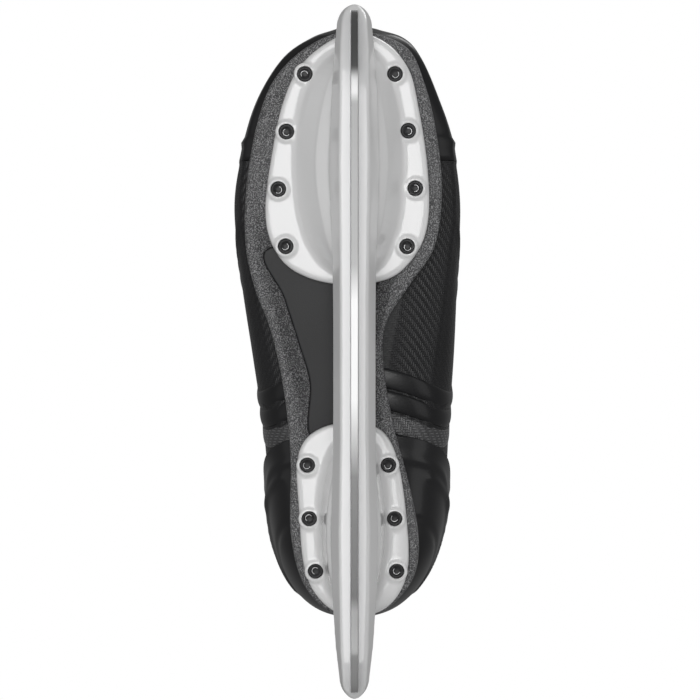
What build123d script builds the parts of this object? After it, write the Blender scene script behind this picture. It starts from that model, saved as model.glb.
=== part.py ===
"""A right-foot ice hockey skate: laced composite boot, riveted blade holder, quick-release steel runner.

Frame: +X to the toe, +Y to the medial (inner) side, +Z up. The origin is on the ice, under the middle of the
runner. Millimetres. The boot has its own plane, tipped forward by PITCH, whose zero height is the sole's underside.
"""

import math
import os

from build123d import *

# ---------------------------------------------------------------- driving dimensions
HOLDER_LENGTH = 315.0
RUNNER_THICKNESS = 3.0
SOLE_HEIGHT = 57.0  # ice to sole underside, above the middle of the runner
PITCH = 3.0  # degrees, heel higher than toe
OUTSOLE_THICKNESS = 4.4
SHELL_WALL = 2.4
LINER_WALL = 4.0
LAYER_GAP = 0.1
TOE_CAP_EDGE = 88.0  # where the toe cap meets the quarters, along the boot
THROAT_HALF_WIDTH = 28.0
RAIL_BOTTOM = 20.0
RAIL_TOP = 36.0
FLANGE_THICKNESS = 4.5
RIVET_HOLE_RADIUS = 2.4
RELEASE_ANGLE = 1.2  # degrees the runner drops when the trigger is pulled
CUT = 400.0  # size of a cutter that runs past everything

pitch = math.radians(PITCH)
boot = Plane(
    origin=(0, 0, SOLE_HEIGHT),
    x_dir=(math.cos(pitch), 0, -math.sin(pitch)),
    z_dir=(math.sin(pitch), 0, math.cos(pitch)),
)
boot_side = Plane(origin=boot.origin, x_dir=boot.x_dir, z_dir=(0, -1, 0))  # x along the boot, y up

# Boot form stations from toe to collar: bottom (x, height), top (x, height), half width lateral, half width
# medial, height share of the widest point, superellipse power of the lower half and of the upper half.
FORM = [
    ((150.5, 15), (150.5, 24), 8, 10, 0.50, 2.2, 2.2),
    ((146.5, 7), (146.5, 36), 20, 23, 0.45, 3.0, 2.2),
    ((137, 4.5), (137, 45), 33, 31, 0.42, 4.0, 2.2),
    ((119, 4.5), (118, 53), 44.5, 39, 0.40, 4.6, 2.2),
    ((98, 4.5), (96, 60), 51.5, 46, 0.38, 4.6, 2.3),
    ((68, 4.5), (72, 74), 56.5, 50, 0.36, 4.6, 2.6),
    ((30, 4.5), (50, 92), 54, 49, 0.38, 4.2, 2.8),
    ((-15, 4.5), (33, 115), 49, 48, 0.38, 3.4, 2.8),
    ((-60, 4.5), (20, 134), 44, 46, 0.42, 3.4, 2.6),
    ((-104, 5.5), (10, 149), 42, 45, 0.50, 3.2, 2.5),
    ((-127, 32), (2, 163), 42, 44, 0.50, 2.4, 2.5),
    ((-123, 70), (-5, 177), 42, 45, 0.50, 2.2, 2.5),
    ((-115, 105), (-10, 191), 41, 44, 0.50, 2.2, 2.5),
    ((-112, 140), (-14, 206), 40, 43, 0.50, 2.2, 2.5),
    ((-114, 178), (-17, 222), 41, 44, 0.50, 2.2, 2.5),
]
SHAFT_START = 12  # the form is two lofts that meet at this station
OUTLINE_POINTS = 14

# Outsole edge, boot plane, from the toe round the lateral side to the heel and back up the medial side.
OUTSOLE_EDGE = [
    (149, 0), (142.5, -20.5), (127, -37), (105.5, -45.5), (76, -50.5), (50, -51), (30, -47),
    (8, -39), (-20, -33), (-52, -30), (-86, -30), (-109.5, -24.5), (-123, -13), (-127, 0),
    (-123.5, 14), (-109.5, 27), (-92, 30.5), (-68, 27), (-35, 18.5), (-8, 14), (12, 15),
    (31, 26.5), (48, 37.5), (72, 41), (98, 39), (124, 33), (142, 23.5),
]
# Underside panel between the towers, boot plane.
ARCH_PANEL_EDGE = [(48, -40), (24, -33), (2, -26), (-16, -21), (-42, -20), (-42, 8), (8, 8), (33, 12), (48, 20)]

FRONT_FLANGE_EDGE = [
    (148, 0), (142, -14.5), (130.5, -26.5), (113, -34), (90, -38.7), (67.5, -41.5), (52, -39.5), (40, -32),
    (33, -19), (30.5, -2), (33, 15), (40, 25), (52, 32.5), (67.5, 35), (90, 33.7), (113, 30), (130.5, 25.5),
    (143, 15),
]
REAR_FLANGE_EDGE = [
    (-34, 0), (-35.5, -13), (-42, -23), (-54, -27), (-75, -26), (-98, -24.3), (-112, -20), (-122, -11),
    (-125.5, 1), (-122, 14), (-112, 22.5), (-98, 25.6), (-75, 24.2), (-54, 21), (-42, 16.5), (-36, 10),
]
FRONT_RIVETS = [
    (128.6, -23), (101.9, -31.6), (75.2, -35.4), (48.6, -32), (128.6, 18.9), (102.3, 25.1), (75.6, 28.4), (48.6, 24.6),
]
REAR_RIVETS = [(-53.8, -22), (-79, -21.1), (-103.8, -18.2), (-53.8, 16), (-79, 18.9), (-103.8, 19.9)]

# Quick-release geometry, skate frame (x, z).
ANCHOR = (105.0, 40.0)
ANCHOR_RADIUS = 2.5
PIVOT = (-66.0, 46.0)
PIVOT_RADIUS = 1.5
RUNNING_GAP = 0.05
SLOT_HEADROOM = 1.6

# Lines seen from the side, boot plane (x, height).
COLLAR_LINE = [(60, 168), (5, 156), (-20, 141), (-50, 127), (-80, 128), (-105, 134), (-150, 137)]
LINER_LINE = [(60, 176), (5, 162), (-20, 147), (-50, 133), (-78, 132), (-105, 134), (-150, 137)]
THROAT_LINE = [(90, 38), (45, 58), (0, 88), (-28, 140), (-38, 250)]
FACING_LINE = [(90, 44), (70, 54), (46, 70), (27, 92), (9, 113), (-5, 133), (-14, 152), (-22, 175)]
EYELET_LINE = [(80, 56), (66, 64), (53, 75.5), (41, 89), (30, 103), (19.5, 117), (10, 131), (2, 145)]
TONGUE_FOLD = (16.0, 166.0)
GUARD_LOW = 138.5


def signed_power(value, power):
    return math.copysign(abs(value) ** power, value)


def station_outline(half, lateral, medial, belly, low, high, grow):
    """Points round one station: half is half the station's height, grow moves every side out."""
    points = []
    for step in range(OUTLINE_POINTS):
        angle = 2 * math.pi * step / OUTLINE_POINTS
        power = high if math.sin(angle) >= 0 else low
        side = medial if math.cos(angle) >= 0 else lateral
        across = (side + grow) * signed_power(math.cos(angle), 2 / power)
        share = 1 - belly if math.sin(angle) >= 0 else belly
        rise = signed_power(math.sin(angle), 2 / power) * (2 * half * share + grow)
        points.append((across, 2 * half * belly - half + rise))
    return points


def station_sketch(station, grow, shift_x, shift_z):
    bottom, top, lateral, medial, belly, low, high = station
    foot = boot.from_local_coords(Vector(bottom[0] + shift_x, 0, bottom[1] + shift_z))
    head = boot.from_local_coords(Vector(top[0] + shift_x, 0, top[1] + shift_z))
    rise = (head - foot).normalized()
    plane = Plane(origin=(foot + head) * 0.5, x_dir=(0, 1, 0), z_dir=Vector(0, 1, 0).cross(rise))
    with BuildSketch(plane) as section:
        with BuildLine():
            Spline(*station_outline((head - foot).length / 2, lateral, medial, belly, low, high, grow), periodic=True)
        make_face()
    return section.sketch


def boot_form(grow, first=0):
    """The boot's outer form moved out by grow; a layer of the boot is one form less another.

    A deep inner form starts behind the toe, at station first, where the toe is narrower than the layer.
    """
    sections = []
    for index, station in enumerate(FORM):
        shift_x = grow if index == 0 else 0
        shift_z = -3 * grow if index == len(FORM) - 1 else 0
        sections.append(station_sketch(station, grow, shift_x, shift_z))
    with BuildPart() as form:
        loft(sections[first : SHAFT_START + 1], ruled=True)
        loft(sections[SHAFT_START:], ruled=True)
    return form.part


def side_prism(points, inner, outer):
    """A prism with this side outline, on both sides of the boot, from inner to outer half width."""
    with BuildPart() as prism:
        with BuildSketch(boot_side):
            with BuildLine():
                Polyline(*points, close=True)
            make_face()
        extrude(amount=outer, both=True)
        if inner > 0:
            with BuildSketch(boot_side):
                with BuildLine():
                    Polyline(*points, close=True)
                make_face()
            extrude(amount=inner, both=True, mode=Mode.SUBTRACT)
    return prism.part


def above(line):
    """Closes a side line with the space over it."""
    return line + [(line[-1][0], CUT), (line[0][0], CUT)]


def below(height):
    return [(-CUT, -CUT), (CUT, -CUT), (CUT, height), (-CUT, height)]


def boot_slab(low, high):
    with BuildPart() as slab:
        with BuildSketch(boot.offset(low)):
            Rectangle(CUT, CUT)
        extrude(amount=high - low)
    return slab.part


def split_half(whole, side):
    """The lateral (-1) or medial (+1) half of a piece, clear of the other half by one layer gap."""
    with BuildPart() as half:
        add(whole)
        with BuildSketch(boot_side.offset(-side * LAYER_GAP / 2)):
            Rectangle(2 * CUT, 2 * CUT)
        extrude(amount=side * CUT, mode=Mode.SUBTRACT)
    return half.part


RIVETS = FRONT_RIVETS + REAR_RIVETS


def boot_posts(points, radius, low, high):
    """Round posts square to the sole at these boot-plane points, used as drills."""
    with BuildPart() as posts:
        with BuildSketch(boot.offset(low)):
            with Locations(*points):
                Circle(radius)
        extrude(amount=high - low)
    return posts.part


def save(part, name):
    part.label = name
    export_step(part, f"parts/{name}.step")


os.makedirs("parts", exist_ok=True)

# ---------------------------------------------------------------- boot layers
outer_form = boot_form(0)
shell_inside = boot_form(-SHELL_WALL)
liner_outside = boot_form(-SHELL_WALL - LAYER_GAP)
liner_inside = boot_form(-SHELL_WALL - LAYER_GAP - LINER_WALL)
overlay_inside = boot_form(LAYER_GAP)
overlay_outside = boot_form(1.8)
rivet_drill = boot_posts(RIVETS, RIVET_HOLE_RADIUS, -10, 12) + boot_posts(RIVETS, 5.0, 9.2, 12)
throat = side_prism(above(THROAT_LINE), 0, THROAT_HALF_WIDTH)
collar = side_prism(above(COLLAR_LINE), 0, CUT)
toe_side = [(TOE_CAP_EDGE, -CUT), (CUT, -CUT), (CUT, CUT), (TOE_CAP_EDGE, CUT)]
shell_bottom = OUTSOLE_THICKNESS + LAYER_GAP

# Where each eyelet pierces the facing: a line across the boot meets the facing's outer face there.
eyelet_seats = []
for seat_x, seat_z in EYELET_LINE:
    centre = boot.from_local_coords(Vector(seat_x, 0, seat_z))
    for side in (-1, 1):
        hits = overlay_outside.find_intersection_points(Axis(centre, (0, side, 0)))
        point, normal = max(hits, key=lambda hit: side * hit[0].Y)
        outward = normal if normal.Y * side > 0 else normal * -1
        eyelet_seats.append((side, Plane(origin=point, z_dir=outward)))

with BuildPart() as eyelet_drill:
    for _, seat in eyelet_seats:
        with BuildSketch(seat.offset(-6)):
            Circle(2.5)
        extrude(amount=9)

with BuildPart() as shell:
    add(outer_form)
    add(shell_inside, mode=Mode.SUBTRACT)
    add(throat, mode=Mode.SUBTRACT)
    add(collar, mode=Mode.SUBTRACT)
    add(side_prism([(x - LAYER_GAP, z) for x, z in toe_side], 0, CUT), mode=Mode.SUBTRACT)
    add(side_prism(below(shell_bottom), 0, CUT), mode=Mode.SUBTRACT)
    add(rivet_drill, mode=Mode.SUBTRACT, clean=False)
    add(eyelet_drill.part, mode=Mode.SUBTRACT, clean=False)
save(split_half(shell.part, -1), "shell_lateral")
save(split_half(shell.part, 1), "shell_medial")

with BuildPart() as toe_cap:
    add(boot_form(0.6))
    add(shell_inside, mode=Mode.SUBTRACT)
    add(side_prism(toe_side, 0, CUT), mode=Mode.INTERSECT)
    add(side_prism(below(shell_bottom), 0, CUT), mode=Mode.SUBTRACT)
    add(rivet_drill, mode=Mode.SUBTRACT, clean=False)
save(toe_cap.part, "toe_cap")

facing_band = FACING_LINE + [(90, 175)]
with BuildPart() as facing:
    add(overlay_outside)
    add(overlay_inside, mode=Mode.SUBTRACT)
    add(side_prism(facing_band, THROAT_HALF_WIDTH, CUT), mode=Mode.INTERSECT)
    add(collar, mode=Mode.SUBTRACT)
    add(side_prism([(x - LAYER_GAP, z) for x, z in toe_side], 0, CUT), mode=Mode.SUBTRACT)
    add(eyelet_drill.part, mode=Mode.SUBTRACT, clean=False)
save(split_half(facing.part, -1), "facing_lateral")
save(split_half(facing.part, 1), "facing_medial")

heel_counter_side = [(-42, 11), (-56, 44), (-82, 78), (-140, 96), (-140, 11)]
with BuildPart() as heel_counter:
    add(overlay_outside)
    add(overlay_inside, mode=Mode.SUBTRACT)
    add(side_prism(heel_counter_side, 0, CUT), mode=Mode.INTERSECT)
save(heel_counter.part, "heel_counter")

FOOTBED_BOTTOM, FOOTBED_TOP = 10.9, 13.9
with BuildPart() as liner:
    add(liner_outside)
    add(liner_inside, mode=Mode.SUBTRACT)
    add(side_prism(above(THROAT_LINE), 0, THROAT_HALF_WIDTH + 2.5), mode=Mode.SUBTRACT)
    add(side_prism(above(LINER_LINE), 0, CUT), mode=Mode.SUBTRACT)
    add(side_prism(below(FOOTBED_TOP + LAYER_GAP), 0, CUT), mode=Mode.SUBTRACT)
save(liner.part, "liner")

with BuildPart() as footbed:
    add(boot_form(-SHELL_WALL - 0.5))
    add(boot_slab(FOOTBED_BOTTOM, FOOTBED_TOP), mode=Mode.INTERSECT)
save(footbed.part, "footbed")

with BuildPart() as insole_board:
    add(boot_form(-SHELL_WALL - 0.2))
    add(boot_slab(7.2, 9.2), mode=Mode.INTERSECT)
    add(rivet_drill, mode=Mode.SUBTRACT, clean=False)
save(insole_board.part, "insole_board")

# ---------------------------------------------------------------- tongue and tendon guard
tongue_outside = boot_form(-SHELL_WALL - 0.2, 3)
tongue_inside = boot_form(-SHELL_WALL - 8.2, 3)
fold_x, fold_z = TONGUE_FOLD
fold_slope = math.tan(math.radians(28))  # the fold runs square to the tongue


def tongue_side(low, high):
    """Side outline of the tongue between two cuts square to its length, given as heights at the fold line."""
    return [(-60, low - (fold_x + 60) * fold_slope), (60, low + (60 - fold_x) * fold_slope),
            (60, high + (60 - fold_x) * fold_slope), (-60, high - (fold_x + 60) * fold_slope)]


with BuildPart() as tongue:
    add(tongue_outside)
    add(tongue_inside, mode=Mode.SUBTRACT)
    tongue_front = [(89.5, 38.6), (89.5, 70), (60, 120), (30, 200), (-27.5, 200), (-27.5, 140.4), (0.4, 88.4), (45.2, 58.4)]
    add(side_prism(tongue_front, 0, THROAT_HALF_WIDTH + 1.5), mode=Mode.INTERSECT)
    add(side_prism(tongue_side(fold_z - 0.5, fold_z + 200), 0, CUT), mode=Mode.SUBTRACT)
save(tongue.part, "tongue")

with BuildPart() as tongue_top:
    add(tongue_outside)
    add(tongue_inside, mode=Mode.SUBTRACT)
    add(side_prism([(-38, 120), (60, 120), (60, 240), (-38, 240)], 0, THROAT_HALF_WIDTH + 1.5), mode=Mode.INTERSECT)
    add(side_prism(tongue_side(fold_z + 0.5, fold_z + 46), 0, CUT), mode=Mode.INTERSECT)
save(tongue_top.part, "tongue_top")

guard_side = [(-150, GUARD_LOW), (-76, GUARD_LOW), (-84, 160), (-98, 186), (-150, 190)]
with BuildPart() as tendon_guard:
    add(boot_form(-0.2))
    add(boot_form(-4.2), mode=Mode.SUBTRACT)
    add(side_prism(guard_side, 0, CUT), mode=Mode.INTERSECT)
save(tendon_guard.part, "tendon_guard")

# ---------------------------------------------------------------- laces and eyelets
with BuildPart() as eyelets:
    for _, seat in eyelet_seats:
        with BuildSketch(seat.offset(-4)):
            Circle(2.45)
            Circle(1.7, mode=Mode.SUBTRACT)
        extrude(amount=4.6)
        with BuildSketch(seat.offset(0.3)):
            Circle(4)
            Circle(1.7, mode=Mode.SUBTRACT)
        extrude(amount=0.6)
save(eyelets.part, "eyelets")

LACE_RADIUS = 1.7
with BuildPart() as laces:
    for row, (lace_x, lace_z) in enumerate(EYELET_LINE):
        ends = [seat.offset(4.2).origin for _, seat in eyelet_seats[2 * row : 2 * row + 2]]
        low = boot.from_local_coords(Vector(lace_x, 0, lace_z))
        lift = Axis(low, Vector(math.sin(math.radians(40)), 0, math.cos(math.radians(40))))
        crown = max((hit[0] for hit in overlay_outside.find_intersection_points(lift)), key=lambda p: p.Z)
        crown = crown + lift.direction * 7
        with BuildLine() as path:
            ThreePointArc(ends[0], crown, ends[1])
        with BuildSketch(Plane(origin=ends[0], z_dir=path.line % 0)):
            Circle(LACE_RADIUS)
        sweep(path=path.line)
save(laces.part, "laces")

# ---------------------------------------------------------------- outsole
with BuildPart() as outsole:
    with BuildSketch(boot):
        with BuildLine():
            Spline(*OUTSOLE_EDGE, periodic=True)
        make_face()
    extrude(amount=OUTSOLE_THICKNESS)
    with BuildSketch(boot):
        with BuildLine():
            Polyline(*ARCH_PANEL_EDGE, close=True)
        make_face()
    extrude(amount=1.8, mode=Mode.SUBTRACT)
    add(rivet_drill, mode=Mode.SUBTRACT, clean=False)
save(outsole.part, "outsole")

with BuildPart() as arch_panel:
    with BuildSketch(boot.offset(0.7)):
        with BuildLine():
            Polyline(*ARCH_PANEL_EDGE, close=True)
        make_face()
        offset(amount=-LAYER_GAP, mode=Mode.REPLACE)
    extrude(amount=1.05)
    add(rivet_drill, mode=Mode.SUBTRACT, clean=False)
save(arch_panel.part, "arch_panel")

# ---------------------------------------------------------------- blade holder
BOSS_RADIUS = 5.2
HEAD_SEAT_RADIUS = 3.75


def holder_plan(half_length, half_width, tip_width):
    """Plan outline of the rail: full width in the middle, round narrow tips."""
    return [
        (half_length, 0), (half_length - 3, tip_width * 0.75), (half_length - 10, tip_width),
        (half_length - 32, half_width), (0, half_width), (32 - half_length, half_width),
        (10 - half_length, tip_width), (3 - half_length, tip_width * 0.75), (-half_length, 0),
        (3 - half_length, -tip_width * 0.75), (10 - half_length, -tip_width), (32 - half_length, -half_width),
        (0, -half_width), (half_length - 32, -half_width), (half_length - 10, -tip_width),
        (half_length - 3, -tip_width * 0.75),
    ]


def lens(centre_x, centre_y, half_length, half_width):
    """Eight-point egg used for the towers' level outlines."""
    points = []
    for step in range(12):
        angle = math.pi * step / 6
        points.append((centre_x + half_length * math.cos(angle), centre_y + half_width * math.sin(angle)))
    return points


def tower(levels):
    """A tower lofted through level outlines: (plane, centre x, centre y, half length, half width)."""
    sections = []
    for plane, centre_x, centre_y, half_length, half_width in levels:
        with BuildSketch(plane) as level:
            with BuildLine():
                Spline(*lens(centre_x, centre_y, half_length, half_width), periodic=True)
            make_face()
        sections.append(level.sketch)
    with BuildPart() as body:
        loft(sections, ruled=True)
    return body.part


def tower_pair(front_shrink, top_offset):
    """Front and rear towers, shrunk all round by front_shrink for their hollow cores."""
    s = front_shrink
    front = tower([
        (Plane.XY.offset(30 + 1.2 * s), 84, 0, 58 - s, 9.5 - s),
        (Plane.XY.offset(40), 86, -1.5, 55 - s, 17 - s),
        (boot.offset(top_offset), 87, -3, 50 - s, 25 - s),
    ])
    rear = tower([
        (Plane.XY.offset(30 + 1.2 * s), -84, 0, 48 - s, 9 - s),
        (Plane.XY.offset(42), -81, 0, 43 - s, 12 - s),
        (boot.offset(top_offset), -80, 0, 38 - s, 14 - s),
    ])
    return front, rear


front_tower, rear_tower = tower_pair(0, -1)
front_core, rear_core = tower_pair(3, 1)
runner_clear = RUNNER_THICKNESS / 2 + 0.1
half_holder = HOLDER_LENGTH / 2

with BuildPart() as rail:
    with BuildSketch(Plane.XY.offset(RAIL_BOTTOM)):
        with BuildLine():
            Spline(*holder_plan(half_holder - 1.5, 7.0, 5.0), periodic=True)
        make_face()
    with BuildSketch(Plane.XY.offset(RAIL_BOTTOM + 11)):
        with BuildLine():
            Spline(*holder_plan(half_holder, 9.8, 6.2), periodic=True)
        make_face()
    loft()
    with BuildSketch(Plane.XY.offset(RAIL_BOTTOM + 11)):
        with BuildLine():
            Spline(*holder_plan(half_holder, 9.8, 6.2), periodic=True)
        make_face()
    with BuildSketch(Plane.XY.offset(RAIL_BOTTOM + 28)):
        with BuildLine():
            Spline(*holder_plan(half_holder, 7.0, 4.5), periodic=True)
        make_face()
    loft()
    with BuildSketch(Plane.XZ):
        with BuildLine():
            Polyline(
                (-half_holder - 1, 30), (-half_holder + 5, 23), (-142, RAIL_BOTTOM), (118, RAIL_BOTTOM), (136, 23),
                (149, 29), (half_holder + 1, 38), (half_holder, 43), (148, 46), (128, 47), (36, RAIL_TOP),
                (-40, RAIL_TOP), (-122, 44), (-134, 37), (-half_holder, 33), close=True,
            )
        make_face()
    extrude(amount=40, both=True, mode=Mode.INTERSECT)

with BuildPart() as holder:
    for edge in (FRONT_FLANGE_EDGE, REAR_FLANGE_EDGE):
        with BuildSketch(boot.offset(-FLANGE_THICKNESS - 0.05)):
            with BuildLine():
                Spline(*edge, periodic=True)
            make_face()
        extrude(amount=FLANGE_THICKNESS)
    add(rail.part)
    add(front_tower)
    add(rear_tower)
    add(boot_slab(-0.05, CUT), mode=Mode.SUBTRACT)
    add(front_core, mode=Mode.SUBTRACT)
    add(rear_core, mode=Mode.SUBTRACT)
    add(rivet_drill, mode=Mode.SUBTRACT, clean=False)
    add(boot_posts(RIVETS, HEAD_SEAT_RADIUS, -20, -2.5), mode=Mode.SUBTRACT)
    # Runner slot, and the two windows its tabs pass through.
    with BuildSketch(Plane.XZ):
        with BuildLine():
            Polyline(
                (-half_holder + 1.5, 0), (half_holder - 1.0, 0), (half_holder - 1.0, 34), (148, 29.5 + SLOT_HEADROOM),
                (-151, 29.5 + SLOT_HEADROOM), (-half_holder + 1.5, 26), close=True,
            )
        make_face()
    extrude(amount=runner_clear, both=True, mode=Mode.SUBTRACT)
    with Locations((ANCHOR[0], 0, 38), (-86, 0, 40)):
        Box(24, 2 * runner_clear, 26, mode=Mode.SUBTRACT)
    with Locations((-52, 0, 46.5)):
        Box(52, 7, 18, mode=Mode.SUBTRACT)
    # Room below the core for the trigger's hook to swing clear of the runner.
    with Locations((-77, 0, 33)):
        Box(16, 6, 8, mode=Mode.SUBTRACT)
    with Locations(Location((ANCHOR[0], 0, ANCHOR[1]), (90, 0, 0))):
        Cylinder(ANCHOR_RADIUS + RUNNING_GAP, 26, mode=Mode.SUBTRACT)
    with Locations(Location((PIVOT[0], 0, PIVOT[1]), (90, 0, 0))):
        Cylinder(PIVOT_RADIUS + RUNNING_GAP, 20, mode=Mode.SUBTRACT)
    add(boot_slab(-0.05, CUT), mode=Mode.SUBTRACT)
save(holder.part, "blade_holder")

with BuildPart() as anchor_pin:
    with Locations(Location((ANCHOR[0], 0, ANCHOR[1]), (90, 0, 0))):
        Cylinder(ANCHOR_RADIUS, 25)
save(anchor_pin.part, "anchor_pin")

with BuildPart() as pivot_pin:
    with Locations(Location((PIVOT[0], 0, PIVOT[1]), (90, 0, 0))):
        Cylinder(PIVOT_RADIUS, 19)
save(pivot_pin.part, "pivot_pin")

# ---------------------------------------------------------------- rivets
with BuildPart() as rivets:
    for x, y in RIVETS:
        with BuildSketch(boot.offset(-3.3)):
            with Locations((x, y)):
                Circle(3.2)
        extrude(amount=0.7)
        with BuildSketch(boot.offset(-3.3)):
            with Locations((x, y)):
                Circle(2.2)
        extrude(amount=13.2)
        with BuildSketch(boot.offset(9.9)):
            with Locations((x, y)):
                Circle(4.4)
        extrude(amount=0.8)
        with BuildSketch(boot.offset(-3.3)):
            with Locations((x, y)):
                Circle(1.2)
        extrude(amount=5, mode=Mode.SUBTRACT)
save(rivets.part, "rivets")

with BuildPart() as rivet_washers:
    with BuildSketch(boot.offset(9.25)):
        with Locations(*RIVETS):
            Circle(4.8)
            Circle(2.35, mode=Mode.SUBTRACT)
    extrude(amount=0.6)
save(rivet_washers.part, "rivet_washers")

# ---------------------------------------------------------------- runner and its quick release
TAB_TOP = 47.0
with BuildPart() as runner:
    with BuildSketch(Plane.XZ) as runner_side:
        with BuildLine():
            heel_curve = Spline((-155.5, 20), (-151, 9), (-140, 3.2), (-118, 2.1), tangents=((0.1, -1), (1, -0.04)))
            rocker = ThreePointArc((-118, 2.1), (0, 0), (118, 2.1))
            toe_curve = Spline((118, 2.1), (138, 7), (150, 17), (155.8, 31), tangents=((1, 0.04), (0.2, 1)))
            Polyline(
                (155.8, 31), (148, 29.5), (ANCHOR[0] + 9, 29.5), (ANCHOR[0] + 9, 46), (ANCHOR[0] - 8, 46),
                (ANCHOR[0] - 8, 29.5), (-78, 29.5), (-78, 34), (-84, 34), (-84, 38), (-78, 42.5), (-78, TAB_TOP),
                (-94, TAB_TOP), (-94, 29.5), (-148, 29.5), (-155.5, 25), (-155.5, 20),
            )
        make_face()
    extrude(amount=RUNNER_THICKNESS / 2 - 0.05, both=True)
    with BuildSketch(Plane.XZ):
        add(runner_side.sketch)
        with Locations((0, RAIL_BOTTOM + 49.9)):
            Rectangle(CUT, 100, mode=Mode.SUBTRACT)
    extrude(amount=RUNNER_THICKNESS / 2, both=True)
    # The front tab hooks over the anchor pin from in front.
    with BuildSketch(Plane.XZ):
        with Locations((ANCHOR[0], ANCHOR[1])):
            Circle(ANCHOR_RADIUS + 2 * RUNNING_GAP)
        with Locations((ANCHOR[0] - 5, ANCHOR[1])):
            Rectangle(10, 2 * ANCHOR_RADIUS + 4 * RUNNING_GAP)
    extrude(amount=RUNNER_THICKNESS, both=True, mode=Mode.SUBTRACT)
save(runner.part, "runner")

with BuildPart() as trigger:
    with BuildSketch(Plane.XZ):
        with BuildLine():
            Polyline(
                (-81.6, 35.2), (-81.6, 38.8), (-72, 46.5), (-70, 50.5), (-62, 50.5), (-56, 47), (-43, 45), (-38.5, 46.5),
                (-36.5, 44.5), (-42, 41), (-58, 41.5), (-68, 41.5), (-75, 35.2), close=True,
            )
        make_face()
    extrude(amount=2.5, both=True)
    with Locations(Location((PIVOT[0], 0, PIVOT[1]), (90, 0, 0))):
        Cylinder(PIVOT_RADIUS + RUNNING_GAP, 12, mode=Mode.SUBTRACT)
save(trigger.part, "trigger")

with BuildPart() as trigger_spring:
    spring_plane = Plane(origin=(PIVOT[0], 4.6, PIVOT[1]), x_dir=(1, 0, 0), z_dir=(0, 1, 0))
    with BuildLine() as coil:
        Helix(pitch=0.8, height=2.4, radius=2.3, center=spring_plane.origin, direction=(0, 1, 0))
    with BuildSketch(Plane(origin=coil.line @ 0, z_dir=coil.line % 0)):
        Circle(0.3)
    sweep(path=coil.line, is_frenet=True)
save(trigger_spring.part, "trigger_spring")
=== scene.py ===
import math
import random

import bmesh
import bpy
import numpy as np
from mathutils import Matrix, Vector

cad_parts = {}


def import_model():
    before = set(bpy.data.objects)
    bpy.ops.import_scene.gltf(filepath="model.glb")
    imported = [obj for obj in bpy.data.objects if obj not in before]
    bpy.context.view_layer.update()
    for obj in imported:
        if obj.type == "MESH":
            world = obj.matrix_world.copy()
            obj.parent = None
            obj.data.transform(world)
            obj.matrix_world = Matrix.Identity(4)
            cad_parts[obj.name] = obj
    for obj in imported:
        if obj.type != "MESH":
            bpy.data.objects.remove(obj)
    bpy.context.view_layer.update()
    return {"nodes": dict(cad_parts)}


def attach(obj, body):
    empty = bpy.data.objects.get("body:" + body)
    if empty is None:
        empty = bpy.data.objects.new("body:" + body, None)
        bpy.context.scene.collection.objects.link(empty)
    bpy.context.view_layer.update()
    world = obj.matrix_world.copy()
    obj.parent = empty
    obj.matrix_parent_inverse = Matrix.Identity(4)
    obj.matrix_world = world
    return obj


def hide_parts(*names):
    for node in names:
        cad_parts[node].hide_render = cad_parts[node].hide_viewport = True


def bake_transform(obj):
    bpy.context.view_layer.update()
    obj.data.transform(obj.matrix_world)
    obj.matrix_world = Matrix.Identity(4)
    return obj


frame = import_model()

# Lengths are millimetres until to_world or world_mm turns them into metres. The boot plane is the underside
# of the outsole. Its origin is SOLE above the ice, and it slopes down to the toe by PITCH.
MM = 0.001
SOLE = 57.0
PITCH = math.radians(3.0)
HALF = 157.5  # half the length of the holder's rail

# ------------------------------------------------------------------ boot form
# One section of the boot per row, from the toe to above the collar: bottom x z, top x z, lateral and medial
# half width, the height share of its widest line, and its squareness below and above that line.
STATIONS = np.array([
    (150.5, 15, 150.5, 24, 8, 10, 0.50, 2.2, 2.2),
    (146.5, 7, 146.5, 36, 20, 23, 0.45, 3.0, 2.2),
    (137, 4.5, 137, 45, 33, 31, 0.42, 4.0, 2.2),
    (119, 4.5, 118, 53, 44.5, 39, 0.40, 4.6, 2.2),
    (98, 4.5, 96, 60, 51.5, 46, 0.38, 4.6, 2.3),
    (68, 4.5, 72, 74, 56.5, 50, 0.36, 4.6, 2.6),
    (30, 4.5, 50, 92, 54, 49, 0.38, 4.2, 2.8),
    (-15, 4.5, 33, 115, 49, 48, 0.38, 3.4, 2.8),
    (-60, 4.5, 20, 134, 44, 46, 0.42, 3.4, 2.6),
    (-104, 5.5, 10, 149, 42, 45, 0.50, 3.2, 2.5),
    (-127, 32, 2, 163, 42, 44, 0.50, 2.4, 2.5),
    (-123, 70, -5, 177, 42, 45, 0.50, 2.2, 2.5),
    (-115, 105, -10, 191, 41, 44, 0.50, 2.2, 2.5),
    (-112, 140, -14, 206, 40, 43, 0.50, 2.2, 2.5),
    (-114, 178, -17, 222, 41, 44, 0.50, 2.2, 2.5),
], float)
HEEL_STRETCH = 1.02  # of the form's x behind the origin
WIDTH_STRETCH = 1.01
CAP_EDGE = 4.335  # the station where the toe cap ends
THROAT = 28.0  # half width of the throat between the facings
LINER_THROAT = 30.5
SIDES = ((-1, "lateral"), (1, "medial"))
DOWN = -math.pi / 2


def to_world(x, y, z):
    """Boot plane millimetres to row-frame metres."""
    return Vector((
        (x * math.cos(PITCH) + z * math.sin(PITCH)) * MM,
        y * MM,
        (SOLE - x * math.sin(PITCH) + z * math.cos(PITCH)) * MM,
    ))


def world_mm(x, y, z):
    """Row-frame millimetres to metres."""
    return Vector((x * MM, y * MM, z * MM))


def catmull(a, b, c, d, t):
    """The Catmull-Rom point at share t of the way from b to c."""
    square, cube = 2 * a - 5 * b + 4 * c - d, 3 * b - a - 3 * c + d
    return 0.5 * (2 * b + (c - a) * t + square * t ** 2 + cube * t ** 3)


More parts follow.
